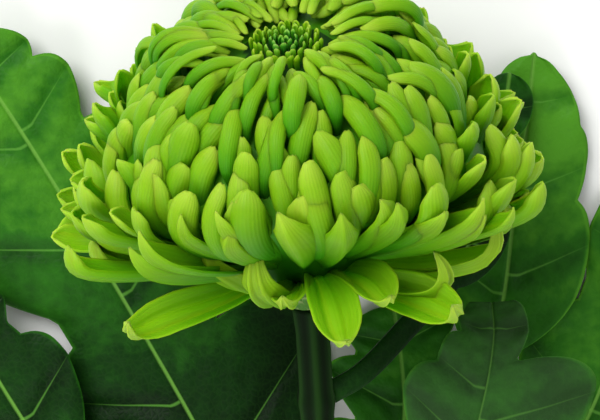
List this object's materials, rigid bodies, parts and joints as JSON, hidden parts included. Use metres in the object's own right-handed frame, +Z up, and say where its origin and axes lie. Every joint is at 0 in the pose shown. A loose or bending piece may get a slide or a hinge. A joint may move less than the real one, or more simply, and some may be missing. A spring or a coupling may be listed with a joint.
{
  "type": "cut disbud chrysanthemum",
  "caption": "Cut disbud chrysanthemum with one large lime-green incurved bloom and lobed dark green leaves, lying on its side.",
  "frame": {"origin": "on the resting plane, below the middle of the whole flower's box", "axes": "+Z up from the resting plane, +Y along the lying flower from the cut end of the stem towards the bloom, +X to the right when the flower is seen from above with its bloom away from the viewer's feet"},
  "size_m": [0.2004, 0.311, 0.1119],
  "materials": {
    "petal_lime": "satin, slightly waxy",
    "calyx_green": "matt",
    "stem_green": "matt, lightly ribbed",
    "leaf_green": "satin"
  },
  "bodies": {
    "root": {"bloom": "petal_lime", "calyx": "calyx_green", "stem": "stem_green", "leaf_left": "leaf_green", "leaf_bottom_left": "leaf_green", "leaf_upper_right": "leaf_green", "leaf_far_right": "leaf_green", "leaf_lower_right": "leaf_green", "leaf_lower_middle": "leaf_green", "leaf_back_right": "leaf_green"}
  },
  "joints": []
}
